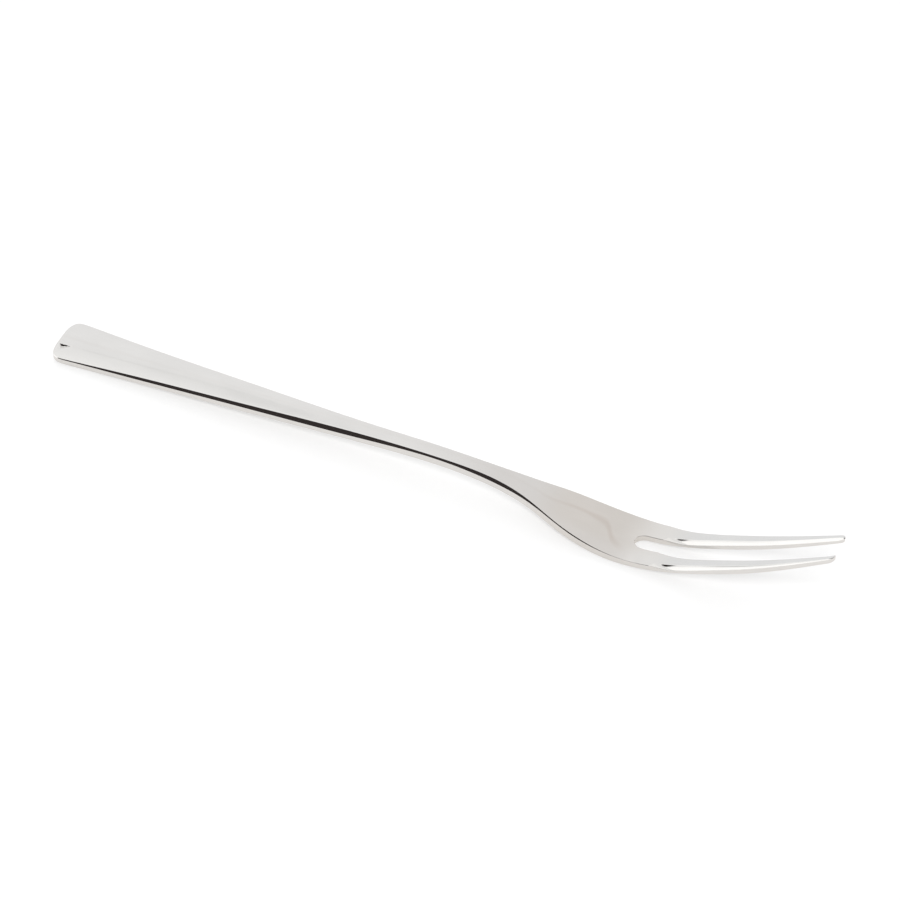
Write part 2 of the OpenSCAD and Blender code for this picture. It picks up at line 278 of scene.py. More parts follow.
class ForkShape:
    """The curves of the fork, in metres from the handle's end, drawn from the named sizes."""

    def __init__(self, plan, profile):
        self.plan, self.profile = plan, profile
        self.neck_start = plan.handle_length
        self.head_start = self.neck_start + plan.neck_length
        self.tine_start = self.head_start + plan.head_length
        self.length = self.tine_start + plan.tine_length
        self.slot_root = self.tine_start - plan.slot_depth
        handle = lambda share: plan.handle_length * share
        neck = lambda share: self.neck_start + plan.neck_length * share
        head = lambda share: self.head_start + plan.head_length * share
        tines = lambda share: self.tine_start + plan.tine_length * share
        self.side = smooth_curve(
            [(handle(p), mix(plan.handle_end_width, plan.neck_width, q) / 2)
             for p, q in HANDLE_WIDTH_SHARES]
            + [(neck(WAIST_SHARE), plan.neck_width / 2)]
            + [(neck(p), mix(plan.neck_width, plan.head_width, q) / 2)
               for p, q in FLARE_WIDTH_SHARES]
            + [(head(WIDEST_SHARE), plan.head_width / 2),
               (tines(ROOT_SPAN_SHARE), plan.root_span / 2),
               (tines(MIDDLE_SPAN_SHARE), plan.middle_span / 2),
               (self.length, plan.tip_span / 2)])
        self.gap = smooth_curve(
            [(self.slot_root, plan.root_gap / 2)]
            + [(tines(p), mix(plan.root_gap, plan.tip_gap, q) / 2) for p, q in TINE_GAP_SHARES])
        self.rim_height = smooth_curve(
            [(handle(p), mix(profile.handle_end_height, profile.crest_height, q))
             for p, q in HANDLE_HEIGHT_SHARES]
            + [(neck(CREST_SHARE), profile.crest_height)]
            + [(neck(p), mix(profile.crest_height, profile.belly_height, q))
               for p, q in FALL_HEIGHT_SHARES]
            + [(head(BELLY_SHARE), profile.belly_height)]
            + [(tines(p), mix(profile.belly_height, profile.tip_height, q))
               for p, q in TINE_HEIGHT_SHARES])
        self.thickness = smooth_curve(
            [(0, profile.handle_end_thickness),
             (handle(HANDLE_MIDDLE_SHARE), profile.handle_thickness),
             (neck(CREST_SHARE), profile.neck_thickness),
             (head(BELLY_SHARE), profile.belly_thickness),
             (self.tine_start, profile.root_thickness),
             (tines(DEEPEST_SHARE), profile.tine_thickness),
             (self.length, profile.tip_thickness)])
        self.bevel_width = smooth_curve(
            [(handle(p), mix(profile.handle_end_bevel, profile.handle_bevel, q))
             for p, q in BEVEL_HANDLE_SHARES]
            + [(neck(WAIST_SHARE), profile.waist_bevel), (neck(FLARE_SHARE), profile.flare_bevel)]
            + [(head(p), mix(profile.flare_bevel, profile.head_bevel, q))
               for p, q in SHOULDER_BEVEL_SHARES]
            + [(head(WIDEST_SHARE), profile.head_bevel), (self.tine_start, profile.head_bevel)])

    def bevel(self, s, inner=False, reach=BEVEL_WIDTH_SHARE):
        """Width of the bevel. Those of the tines open over a reach, and narrow to the tips."""
        p = self.profile
        at_tip = p.inner_tip_bevel if inner else p.tip_bevel
        body = np.maximum(p.head_bevel / 2, self.bevel_width(np.minimum(s, self.tine_start)))
        body = np.where(inner | (s > self.tine_start), p.head_bevel, body)
        share = (s - self.tine_start) / self.plan.tine_length
        opening = 1 - (1 - np.clip(share / reach, 0, 1)) ** 2
        narrowing = np.maximum(0, share - BEVEL_FULL_SHARE) / (1 - BEVEL_FULL_SHARE)
        return mix(body, mix(p.tine_bevel, at_tip, narrowing), opening)

    def edge_bevel(self, s, inner, slow):
        """Width and fall of a bevel. A tine's bevel on its right is soon wide and then sinks in,
        and the one on its left widens slowly."""
        if slow:
            width = self.bevel(s, inner, SLOW_INNER_SHARE if inner else SLOW_OUTER_SHARE)
            return float(width), float(width) * BEVEL_FALL_SHARE
        width, edge = float(self.bevel(s, inner)), self.profile.head_bevel
        if s <= self.tine_start:
            return width, width * BEVEL_FALL_SHARE
        share = (s - self.tine_start) / self.plan.tine_length
        at_first = smooth_step(share / QUICK_SINK_SHARE)
        later = 1 - np.exp(-share / SLOW_SINK_SHARE)
        sunk = mix(edge, width, (at_first + later) / 2)
        return width, float(sunk) * BEVEL_FALL_SHARE

    def hollow(self, s):
        """How hollow a bevel is ground, as a share of its fall. Only those of the tines are."""
        share = (s - self.tine_start) / self.plan.tine_length
        first, last = HOLLOW_FADE_SHARES
        deep = mix(*HOLLOW_SHARES, smooth_step((share - first) / (last - first)))
        return deep * smooth_step(share / BEVEL_WIDTH_SHARE)

    def panel_edge(self, s):
        """Half of the panel's width, and how far the groove beside the panel is open."""
        p = self.profile
        closed = (p.groove_end - s) / (p.groove_end - p.groove_start)
        opened = 2 * s / p.groove_start - 1
        return (p.panel_half_width * np.maximum(0, 1 - s / p.panel_length),
                np.clip(np.minimum(closed, opened), 0, 1))

    def top(self, s, y):
        """Height of the upper face, with the handle's panel and a slight crown."""
        p = self.profile
        half = self.side(s)
        panel, _ = self.panel_edge(s)
        soft = p.crease_softness * (1 + 3 * s / p.panel_length)
        rise = p.panel_rise * np.maximum(0, 1 - s / (PANEL_END_SHARE * self.plan.handle_length))
        beyond = soft_plus(np.abs(y) - panel, soft)
        whole = soft_plus(half - panel, soft)
        share = np.minimum(1, np.abs(y) / half)
        return self.rim_height(s) + rise * (1 - beyond / whole) - p.crown * share ** 4

    def groove(self, s, y):
        """Depth of the groove at the end of the panel's crease."""
        p = self.profile
        panel, opening = self.panel_edge(s)
        steep, slow = p.groove_width, p.groove_return
        reach = (y - panel) / (opening + TINY_LENGTH)
        return p.groove_depth * opening * np.interp(reach, (0, steep, steep + slow), (0, 1, 0))

    def bottom(self, s):
        """Height of the underside, flattened where it would sink into the table."""
        z = self.rim_height(s)
        low = np.maximum(0, z - self.thickness(s))
        reach = self.plan.tip_round_length
        nip = reach * (1 - (1 - BLUNT_SHARE ** TIP_POWER) ** (1 / TIP_POWER))
        u = np.clip((self.length - s + nip) / reach, 0, 1)
        share = (1 - (1 - u) ** TIP_POWER) ** (1 / TIP_POWER)
        return z + (low - z) * mix(TIP_HEIGHT_SHARE, 1, share)


def smooth_step(t):
    t = np.clip(t, 0, 1)
    return t * t * (3 - 2 * t)


def soft_plus(x, softness):
    """Zero below zero and x above it, with a rounded corner."""
    return (x + np.sqrt(x * x + softness * softness)) / 2


def corner(before, at, after, steps):
    """Points of a rounded corner, drawn as a parabola that touches both of its sides."""
    t = np.linspace(0, 1, steps)[:, None]
    before, at, after = (np.array(p, float) for p in (before, at, after))
    return (1 - t) ** 2 * before + 2 * t * (1 - t) * at + t ** 2 * after


def towards(a, b, distance):
    """The point at a distance from a on the way to b, or a little before the middle."""
    a, b = np.array(a, float), np.array(b, float)
    return a + (b - a) * min(MOST_CORNER_SHARE, distance / np.linalg.norm(b - a))


def band_profile(bevel, fall, hollow, height, edge, scale):
    """The edge of the steel, as rows of inset from the outline, fall from the upper face and
    rise from the underside. A row uses the fall, or the rise where the fall isn't a number."""
    edge = min(edge * scale, MOST_LOWER_EDGE_SHARE * (height - fall))
    rim, shoulder = (bevel, 0.0), (0.0, fall)
    inset = bevel + RIM_STRIP * scale
    t = np.linspace(0, 1, BEVEL_POINTS)
    line = [(bevel * (1 - k), fall * (k + hollow * k * (1 - k))) for k in t]
    rim_out = towards(rim, (inset, 0.0), RIM_REACH)
    rim_in = towards(rim, line[1], RIM_REACH)
    shoulder_out = towards(shoulder, line[-2], SHOULDER_REACHES[0])
    shoulder_in = towards(shoulder, (0.0, height), SHOULDER_REACHES[1])
    upper = np.vstack([
        [(inset, 0.0)],
        corner(rim_out, rim, rim_in, RIM_POINTS),
        line[1:-1],
        corner(shoulder_out, shoulder, shoulder_in, SHOULDER_POINTS)])
    angles = np.linspace(0, math.pi / 2, LOWER_EDGE_POINTS)
    lower = np.column_stack([edge * (1 - np.cos(angles)), edge * (1 - np.sin(angles))])
    none = np.full((len(upper), 1), np.nan)
    upper = np.hstack([upper, none])
    lower = np.column_stack([lower[:, 0], np.full(len(lower), np.nan), lower[:, 1]])
    return np.vstack([upper, lower])


def rounded_end(half, reach, power, steps):
    """Quarter of a rounded end: how far each point lies from the start of the rounding, its
    share of the half width, and its outward direction along and across."""
    angle = np.linspace(0, math.pi / 2, steps + 1)
    along = reach * np.sin(angle) ** (2 / power)
    across = half * np.cos(angle) ** (2 / power)
    across[-1] = 0
    slope = np.column_stack([(along / reach) ** (power - 1) / reach,
                             (across / half) ** (power - 1) / half])
    return along, across / half, slope / np.linalg.norm(slope, axis=1)[:, None]


def half_rows(shape):
    """Rows across one half of the fork. Each has an outer point with its inward direction, an
    inner point with its own, a scale for its small roundings, and whether it borders the slot."""
    plan = shape.plan
    rows = []
    inset = lambda s: float(shape.bevel(s)) + RIM_STRIP

    # The rounded end of the handle
    half = float(shape.side(0.0))
    along, share, outward = rounded_end(half, plan.end_round_length, HANDLE_END_POWER, END_ROWS)
    first = inset(0.0)
    for i in range(END_ROWS, -1, -1):
        s = plan.end_round_length - along[i]
        y = float(shape.side(s)) * share[i]
        k = 1 - i / END_ROWS
        middle = mix(first, plan.end_round_length, k ** END_CROWDING)
        normal = (outward[i][0], -outward[i][1])
        rows.append(((s, y), normal, (middle, 0.0), None, 1.0, False))

    # The solid part, from there to just before the slot
    blade_end = shape.slot_root - inset(shape.slot_root)
    for start, end, step in ((plan.end_round_length, shape.neck_start, HANDLE_STEP),
                             (shape.neck_start, shape.head_start, NECK_STEP),
                             (shape.head_start, blade_end, HEAD_STEP)):
        count = math.ceil((end - start) / step)
        for k in range(1, count + 1):
            s = mix(start, end, k / count)
            rows.append(((s, float(shape.side(s))), (0.0, -1.0), (s, 0.0), None, 1.0, False))
    rows.pop()

    # The rounded root of the slot
    root_end = shape.slot_root + plan.slot_round_length
    for k in range(SLOT_ROWS + 1):
        angle = math.pi / 2 * k / SLOT_ROWS
        s = shape.slot_root + plan.slot_round_length * (1 - math.cos(angle))
        y = float(shape.gap(s)) * math.sin(angle)
        normal = np.array([-math.cos(angle) / plan.slot_round_length,
                           math.sin(angle) / float(shape.gap(s))])
        normal /= np.linalg.norm(normal)
        outer = mix(blade_end, root_end, (k / SLOT_ROWS) ** SLOT_CROWDING)
        rows.append(((outer, float(shape.side(outer))), (0.0, -1.0), (s, y), tuple(normal),
                     1.0, True))

    # One side of the slot and its tine
    tip_start = shape.length - plan.tip_round_length
    for start, end, step in ((root_end, shape.tine_start, ROOT_STEP),
                             (shape.tine_start, tip_start, TINE_STEP)):
        count = math.ceil((end - start) / step)
        for k in range(1, count + 1):
            s = mix(start, end, k / count)
            rows.append(((s, float(shape.side(s))), (0.0, -1.0), (s, float(shape.gap(s))),
                         (0.0, 1.0), 1.0, True))

    # The rounded tip
    full = float(shape.side(tip_start) - shape.gap(tip_start))
    reach = plan.tip_round_length
    along, share, out = rounded_end(full * OUTER_ROUND_SHARE, reach, TIP_OUTLINE_POWER, TIP_ROWS)
    inner = rounded_end(full * (1 - OUTER_ROUND_SHARE), reach, TIP_OUTLINE_POWER, TIP_ROWS)[2]
    for i in range(1, TIP_ROWS + 1):
        s = tip_start + along[i]
        width = float(shape.side(s) - shape.gap(s))
        crest = float(shape.side(s)) - width * OUTER_ROUND_SHARE
        scale = mix(1.0, TIP_EDGE_SCALE, smooth_step(along[i] / reach))
        rows.append(((s, crest + width * OUTER_ROUND_SHARE * share[i]), (-out[i][0], -out[i][1]),
                     (s, crest - width * (1 - OUTER_ROUND_SHARE) * share[i]),
                     (-inner[i][0], inner[i][1]), float(scale), True))
    return rows


def band(shape, point, inward, scale, inner, slow):
    """Points of the edge of the steel at one place of the outline, from top to bottom."""
    s, y = point
    height = float(shape.top(s, y) - shape.bottom(s))
    bevel, fall = (scale * size for size in shape.edge_bevel(s, inner, slow))
    hollow = float(shape.hollow(s))
    profile = band_profile(bevel, fall, hollow, height, shape.profile.edge_round, scale)
    at = np.array([s, y]) + profile[:, :1] * np.array(inward)
    z = np.where(np.isnan(profile[:, 1]),
                 shape.bottom(at[:, 0]) + np.nan_to_num(profile[:, 2]),
                 shape.top(at[:, 0], at[:, 1]) - np.nan_to_num(profile[:, 1]))
    return np.column_stack([at, z])


def row_shares(shape, start, end):
    """Shares of a row's points, from its inner end to its outer end. Three of them follow the
    groove beside the handle's panel."""
    p = shape.profile
    even = np.linspace(0, 1, shape.plan.points_across) ** ROW_CROWDING
    share = GROOVE_LEAST_SHARES
    for _ in range(GROOVE_ROUNDS):
        panel, opening = shape.panel_edge(start[0] + (end[0] - start[0]) * share)
        offset = np.array((0, p.groove_width, p.groove_width + p.groove_return))
        wanted = panel + offset * np.maximum(opening, GROOVE_LEAST_OPENING)
        share = np.clip((wanted - start[1]) / max(end[1] - start[1], TINY_LENGTH),
                        GROOVE_LEAST_SHARES, GROOVE_MOST_SHARES)
    return np.sort(np.concatenate([even, share]))


def half_skin(shape, left):
    """The rings of one half of the fork, whether each borders the slot, and its place. Both
    halves are drawn on the left. They differ in which bevels of the tines open slowly, and only
    the right one has the groove beside the panel."""
    low_shares = np.linspace(0, 1, shape.plan.points_across // 2)
    loops, slots, places = [], [], []
    first_low = None
    for outer, outer_in, inner, inner_in, scale, slot in half_rows(shape):
        edge = band(shape, outer, outer_in, scale, False, left)
        first_low = edge[-1, 0] if first_low is None else first_low
        if slot:
            lip = band(shape, inner, inner_in, scale, True, not left)
            start_top, start_low = lip[0, :2], lip[-1, :2]
        else:
            start_top, start_low = np.array(inner), np.array([max(inner[0], first_low), 0.0])
        shares = row_shares(shape, start_top, edge[0, :2])
        tops = start_top + (edge[0, :2] - start_top) * shares[:, None]
        lows = edge[-1, :2] + (start_low - edge[-1, :2]) * low_shares[:, None]
        heights = shape.top(*tops.T) - (0 if left else shape.groove(*tops.T))
        loop = [np.column_stack([tops, heights]), edge[1:],
                np.column_stack([lows, shape.bottom(lows[:, 0])])[1:]]
        if slot:
            loop.append(lip[::-1][1:-1])
        loops.append(np.vstack(loop))
        slots.append(slot)
        places.append(outer[0])
    return loops, slots, np.array(places)


def fork_skin(shape):
    """The whole fork as one closed skin: its points, the faces between its rings as ring, hand
    and corners, where each ring starts, which rings border the slot, and their places."""
    loops, slots, places = half_skin(shape, True)
    others = half_skin(shape, False)[0]
    starts = np.cumsum([0] + [len(loop) for loop in loops])
    points = np.vstack([*loops, *(loop * (1, -1, 1) for loop in others)])
    half = starts[-1]
    faces = []
    for i in range(len(loops) - 1):
        a, b, n = starts[i], starts[i + 1], len(loops[i])
        closed = slots[i]
        for j in range(n if closed else n - 1):
            k = (j + 1) % n
            faces.append((i, LEFT, (a + j, b + j, b + k, a + k)))
            faces.append((i, RIGHT, (half + a + k, half + b + k, half + b + j, half + a + j)))
    points[:, 0] -= shape.length / 2
    return points, faces, starts, slots, places


def welded(points):
    """For each point, the first one that lies at the same place."""
    keys = np.round(points / WELD_DISTANCE).astype(np.int64)
    _, first, back = np.unique(keys, axis=0, return_index=True, return_inverse=True)
    return first[back.ravel()]


def skin_normals(points, same, faces):
    """Smooth normals of the whole skin, so that no seam shows between its pieces."""
    corners = np.array([f[2] for f in faces])
    p = points[corners]
    flat = np.cross(p[:, 2] - p[:, 0], p[:, 3] - p[:, 1])
    total = np.zeros_like(points)
    for column in range(4):
        np.add.at(total, same[corners[:, column]], flat)
    total = total[same]
    return total / np.maximum(np.linalg.norm(total, axis=1), TINY_AREA)[:, None]


def without_repeats(vertices):
    """A ring's vertices in their order, each of them once."""
    return list(dict.fromkeys(int(v) for v in vertices))


def piece_of_fork(name, shape, start, end, side=None):
    """One closed piece of the skin, between two places along the fork, capped at its cuts."""
    points, faces, starts, slots, places = fork_skin(shape)
    same = welded(points)
    normals = skin_normals(points, same, faces)
    half = starts[-1]
    first = int(np.argmin(abs(places - start))) if start > 0 else 0
    last = int(np.argmin(abs(places - end))) if end < shape.length else len(places) - 1
    used, rings = [], []
    for row, hand, corners in faces:
        if first <= row < last and (side is None or hand == side):
            ring = without_repeats(same[list(corners)])
            if len(ring) > 2:
                used.append(ring)
                rings.append(None)
    for row, facing, shown in ((first, -1.0, start > 0), (last, 1.0, end < shape.length)):
        if not shown:
            continue
        loop = list(range(starts[row], starts[row + 1]))
        other = [half + v for v in reversed(loop)]
        caps = [loop, other] if slots[row] else [loop + other]
        for hand, cap in enumerate(caps):
            if side is None or hand == side:
                ring = without_repeats(same[cap])
                used.append(ring if facing < 0 else ring[::-1])
                rings.append((facing, 0.0, 0.0))
    kept = sorted({v for ring in used for v in ring})
    place = {v: i for i, v in enumerate(kept)}
    mesh = bpy.data.meshes.new(name)
    mesh.from_pydata([tuple(points[v]) for v in kept], [], [[place[v] for v in r] for r in used])
    mesh.validate()
    mesh.polygons.foreach_set("use_smooth", [True] * len(mesh.polygons))
    shading = []
    for ring, cap in zip(used, rings):
        shading.extend([cap or tuple(normals[v]) for v in ring])
    mesh.normals_split_custom_set(shading)
    mesh.update()
    piece = bpy.data.objects.new(name, mesh)
    bpy.context.scene.collection.objects.link(piece)
    return piece


NODES_PER_ROW = 8
NODE_SPACING = 280


def node(tree, kind, label="", **settings):
    """A new node, set down in the next free cell of a grid so that no node lies on another."""
    row, column = divmod(len(tree.nodes), NODES_PER_ROW)
    made = tree.nodes.new(kind)
    made.location = (column * NODE_SPACING, -row * NODE_SPACING)
    made.label = label
    for name, value in settings.items():
        setattr(made, name, value)
    return made


def math_node(tree, operation, first, second=None, third=None):
    """A Math node whose inputs are sockets or numbers."""
    made = node(tree, "ShaderNodeMath", operation=operation)
    for socket, value in zip(made.inputs, (first, second, third)):
        if isinstance(value, bpy.types.NodeSocket):
            tree.links.new(value, socket)
        elif value is not None:
            socket.default_value = value
    return made.outputs[0]


def ramped(tree, value, low, high, to_low=0.0, to_high=1.0, kind="SMOOTHSTEP"):
    """A value mapped from one range to another, clamped at both ends."""
    made = node(tree, "ShaderNodeMapRange", interpolation_type=kind)
    tree.links.new(value, made.inputs["Value"])
    for name, number in (("From Min", low), ("From Max", high),
                         ("To Min", to_low), ("To Max", to_high)):
        made.inputs[name].default_value = number
    return made.outputs["Result"]


# Path of the soft darker arc on the head, in millimetres along the fork from the handle's end and
# across it from its middle line
DARK_ARC_PATH = ((92, 0.5), (95, 0.2), (97.7, 0.2), (99.4, 0.6), (102, 1.2), (104, 1.35),
               (105.8, 1.35), (107, 1.2), (107.9, 0.6), (108.6, -0.3), (109.5, -1.5), (111, -2.5),
               (112.6, -3.2), (114, -3.8))
# The fork's middle and the farthest that the path may lie from its middle line, in millimetres.
# Then the arc's width at first and at last, where along the path it widens, and where the
# arc appears and fades out, each a range of shares with the strength at both of its ends
FORK_MIDDLE = 75
DARK_ARC_REACH = 5
DARK_ARC_WIDTHS = (0.65 * MM, 1.2 * MM)
DARK_ARC_WIDENS = (0.5, 0.68)
DARK_ARC_APPEARS = (0.0, 0.7, 0.15, 1.0)
DARK_ARC_FADES = (0.76, 0.98, 1.0, 0.0)


def dark_arc_mask(tree, along, across):
    """How much of a soft, curved darker arc covers a place of the head."""
    (start, _), (end, _) = DARK_ARC_PATH[0], DARK_ARC_PATH[-1]
    share = ramped(tree, along, (start - FORK_MIDDLE) * MM, (end - FORK_MIDDLE) * MM,
                   kind="LINEAR")
    path = node(tree, "ShaderNodeFloatCurve", label="path of the dark arc")
    points = path.mapping.curves[0].points
    places = [((s - start) / (end - start), (y + DARK_ARC_REACH) / (2 * DARK_ARC_REACH))
              for s, y in DARK_ARC_PATH]
    points[0].location, points[-1].location = places[0], places[-1]
    for point in places[1:-1]:
        points.new(*point)
    path.mapping.update()
    tree.links.new(share, path.inputs["Value"])
    middle = ramped(tree, path.outputs["Value"], 0.0, 1.0, -DARK_ARC_REACH * MM,
                    DARK_ARC_REACH * MM, kind="LINEAR")
    off = math_node(tree, "ABSOLUTE", math_node(tree, "SUBTRACT", across, middle))
    width = ramped(tree, share, *DARK_ARC_WIDENS, *DARK_ARC_WIDTHS)
    near = ramped(tree, math_node(tree, "DIVIDE", off, width), 0.0, 1.0, 1.0, 0.0)
    ends = math_node(tree, "MULTIPLY", ramped(tree, share, *DARK_ARC_APPEARS),
                     ramped(tree, share, *DARK_ARC_FADES))
    return math_node(tree, "MULTIPLY", near, ends)


# Finish of the steel: the repeats per metre of its fine lines and of its haze, along, across and
# through the fork, and the range of the haze that its whole change of colour or roughness takes
LINE_SCALE = (60, 5200, 5200)
LINE_DETAIL = 3
LINE_DEPTH = 0.003 * MM
LINE_ROUGHNESS_SHARE = 0.3
HAZE_SCALE = (120, 260, 260)
HAZE_DETAIL = 4
HAZE_GRAIN = 0.6
HAZE_COLOUR_RANGE = (0.35, 0.65)
HAZE_ROUGHNESS_RANGE = (0.3, 0.7)
HAZE_TONES = (0.985, 1.01)
# Where the painted reflection on the head, a darker and warmer tone, appears and where it fades
# along the fork, and how it weakens towards the right rim, in metres from the fork's middle, with
# the strength at both ends
HEAD_REFLECTION_APPEARS = (0.018, 0.026, 0.0, 1.0)
HEAD_REFLECTION_FADES = (0.033, 0.053, 1.0, 0.0)
HEAD_REFLECTION_ACROSS = (-4.2 * MM, -1 * MM, 0.55, 1.0)


def polished_steel(look):
    """Mirror-polished steel: fine lengthwise polishing lines under a soft, uneven haze."""
    material = bpy.data.materials.get("polished_steel") or bpy.data.materials.new("polished_steel")
    material.use_nodes = True
    tree = material.node_tree
    tree.nodes.clear()
    links = tree.links
    place = node(tree, "ShaderNodeTexCoord").outputs["Object"]

    lines_place = node(tree, "ShaderNodeMapping", label="stretched along the fork")
    lines_place.inputs["Scale"].default_value = LINE_SCALE
    links.new(place, lines_place.inputs["Vector"])
    lines = node(tree, "ShaderNodeTexNoise", label="polishing lines")
    lines.inputs["Scale"].default_value = 1
    lines.inputs["Detail"].default_value = LINE_DETAIL
    links.new(lines_place.outputs["Vector"], lines.inputs["Vector"])

    haze_place = node(tree, "ShaderNodeMapping", label="size of the haze")
    haze_place.inputs["Scale"].default_value = HAZE_SCALE
    links.new(place, haze_place.inputs["Vector"])
    haze = node(tree, "ShaderNodeTexNoise", label="polishing haze")
    haze.inputs["Scale"].default_value = 1
    haze.inputs["Detail"].default_value = HAZE_DETAIL
    haze.inputs["Roughness"].default_value = HAZE_GRAIN
    links.new(haze_place.outputs["Vector"], haze.inputs["Vector"])

    shader = node(tree, "ShaderNodeBsdfPrincipled")
    shader.inputs["Metallic"].default_value = 1.0
    split = node(tree, "ShaderNodeSeparateXYZ")
    links.new(place, split.inputs[0])
    along, across = split.outputs[0], split.outputs[1]
    # Where the painted reflection darkens and warms the head
    head_reflection = math_node(tree, "MULTIPLY", ramped(tree, along, *HEAD_REFLECTION_APPEARS),
                        ramped(tree, along, *HEAD_REFLECTION_FADES))
    head_reflection = math_node(tree, "MULTIPLY", head_reflection, ramped(tree, across, *HEAD_REFLECTION_ACROSS))
    uneven = ramped(tree, haze.outputs["Fac"], *HAZE_COLOUR_RANGE)
    colour = None
    # Layers of the colour: a tone that varies at random with the haze, a painted reflection that
    # darkens and warms the head, and a soft darker arc on the head
    for label, mask, first, last in (
            ("uneven haze", uneven, HAZE_TONES[0], (HAZE_TONES[1],) * 3),
            ("painted reflection on the head", head_reflection, 1.0, look.head_reflection_tint[:]),
            ("dark arc on the head", dark_arc_mask(tree, along, across), 1.0, look.dark_arc_tint[:])):
        layer = node(tree, "ShaderNodeMix", data_type="RGBA", blend_type="MULTIPLY", label=label)
        layer.inputs["Factor"].default_value = 1.0
        tint = node(tree, "ShaderNodeMix", data_type="RGBA", label=label)
        tint.inputs["A"].default_value = (first, first, first, 1)
        tint.inputs["B"].default_value = (*last, 1)
        links.new(mask, tint.inputs["Factor"])
        if colour is None:
            layer.inputs["A"].default_value = (*look.colour, 1)
        else:
            links.new(colour, layer.inputs["A"])
        links.new(tint.outputs["Result"], layer.inputs["B"])
        colour = layer.outputs["Result"]
    links.new(colour, shader.inputs["Base Color"])
    low, high = look.roughness * (1 - look.haze), look.roughness * (1 + look.haze)
    spread = ramped(tree, haze.outputs["Fac"], *HAZE_ROUGHNESS_RANGE, low, high, "LINEAR")
    rough = math_node(tree, "MULTIPLY_ADD", lines.outputs["Fac"],
                      look.roughness * LINE_ROUGHNESS_SHARE, spread)
    links.new(rough, shader.inputs["Roughness"])
    bump = node(tree, "ShaderNodeBump")
    bump.inputs["Strength"].default_value = look.scratches
    bump.inputs["Distance"].default_value = LINE_DEPTH
    links.new(lines.outputs["Fac"], bump.inputs["Height"])
    links.new(bump.outputs["Normal"], shader.inputs["Normal"])
    out = node(tree, "ShaderNodeOutputMaterial")
    links.new(shader.outputs["BSDF"], out.inputs["Surface"])
    return material


def add_steel_piece(context, cad_node, section, side=None):
    """Builds one piece of the fork in place of its node of the frame. The sections are counted
    from the handle's end, and side chooses the left or the right half of one."""
    fork = ForkShape(context.scene.fork_plan, context.scene.fork_profile)
    cuts = (0.0, fork.neck_start, fork.head_start, fork.tine_start, fork.length)
    piece = piece_of_fork(cad_node + "_steel", fork, cuts[section], cuts[section + 1], side)
    piece.data.materials.append(polished_steel(context.scene.fork_steel))
    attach(piece, ROOT_BODY)
    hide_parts(cad_node)


class FORK_OT_handle(bpy.types.Operator):
    """Build the tapering handle with its rounded end"""

    bl_idname = "oyster_fork.handle"
    bl_label = "Handle"

    def execute(self, context):
        add_steel_piece(context, "handle", 0)
        return {"FINISHED"}


class FORK_OT_neck(bpy.types.Operator):
    """Build the narrow arched neck"""

    bl_idname = "oyster_fork.neck"
    bl_label = "Neck"

    def execute(self, context):
        add_steel_piece(context, "neck", 1)
        return {"FINISHED"}


class FORK_OT_head(bpy.types.Operator):
    """Build the flattened head with the root of the slot"""

    bl_idname = "oyster_fork.head"
    bl_label = "Head"

    def execute(self, context):
        add_steel_piece(context, "head", 2)
        return {"FINISHED"}


class FORK_OT_tines(bpy.types.Operator):
    """Build the two bevelled tines"""

    bl_idname = "oyster_fork.tines"
    bl_label = "Tines"

    def execute(self, context):
        add_steel_piece(context, "tine_left", 3, LEFT)
        add_steel_piece(context, "tine_right", 3, RIGHT)
        return {"FINISHED"}


def card_window():
    """Node group: how far a direction lies inside a soft-edged card, all in degrees."""
    group = bpy.data.node_groups.get("card_window")
    if group:
        return group
    group = bpy.data.node_groups.new("card_window", "ShaderNodeTree")
    for name in ("Across", "Up", "Left", "Right", "Low", "High", "Edge across", "Edge up"):
        group.interface.new_socket(name, in_out="INPUT", socket_type="NodeSocketFloat")
    group.interface.new_socket("Mask", in_out="OUTPUT", socket_type="NodeSocketFloat")
    given = node(group, "NodeGroupInput").outputs
    sides = []
    for value, edge, name, sign in (("Across", "Edge across", "Left", 1),
                                    ("Across", "Edge across", "Right", -1),
                                    ("Up", "Edge up", "Low", 1), ("Up", "Edge up", "High", -1)):
        inside = math_node(group, "SUBTRACT", given[value], given[name])
        share = math_node(group, "DIVIDE", inside, given[edge])
        sides.append(ramped(group, math_node(group, "MULTIPLY", share, sign), -0.5, 0.5))
    mask = math_node(group, "MULTIPLY", math_node(group, "MULTIPLY", *sides[:2]),
                     math_node(group, "MULTIPLY", *sides[2:]))
    group.links.new(mask, node(group, "NodeGroupOutput").inputs["Mask"])
    return group


# What the polished faces reflect: name, whether it is measured from the camera's side, its left,
# right, low and high edges and the softness of its edges, in degrees, and its colour
CARDS = (
    ("dim patch behind", False, -27, 60, 41, 66, 34, 10, (0.815, 0.8, 0.797)),
    ("light above the handle", False, -90, -33, 47.5, 90, 8, 3, (1.03, 1.03, 1.03)),
    ("thin edge of the tent", False, -90, -36, 44.1, 45.5, 2, 0.9, (0.78, 0.78, 0.78)),
    ("cool wall to the left", False, -100, -44, -20, 34, 10, 10, (0.883, 0.893, 0.91)),
    ("grey camera side", True, -20, 90, -6, 55, 20, 14, (0.36, 0.35, 0.345)),
    ("dark camera side", True, -40, -4, -6, 55, 4, 8, (0.034, 0.028, 0.027)),
    ("fading dark side", True, -20, 14, -6, 55, 22, 8, (0.034, 0.028, 0.027)),
    ("white card to the left", True, -112, -43, -6, 42, 12, 10, (1.25, 1.25, 1.25)),
)
# The tent where no card stands in it, and the light from all round on what isn't a mirror
TENT_COLOUR = (0.93, 0.93, 0.937)
PLAIN_LIGHT = (0.52, 0.52, 0.52)


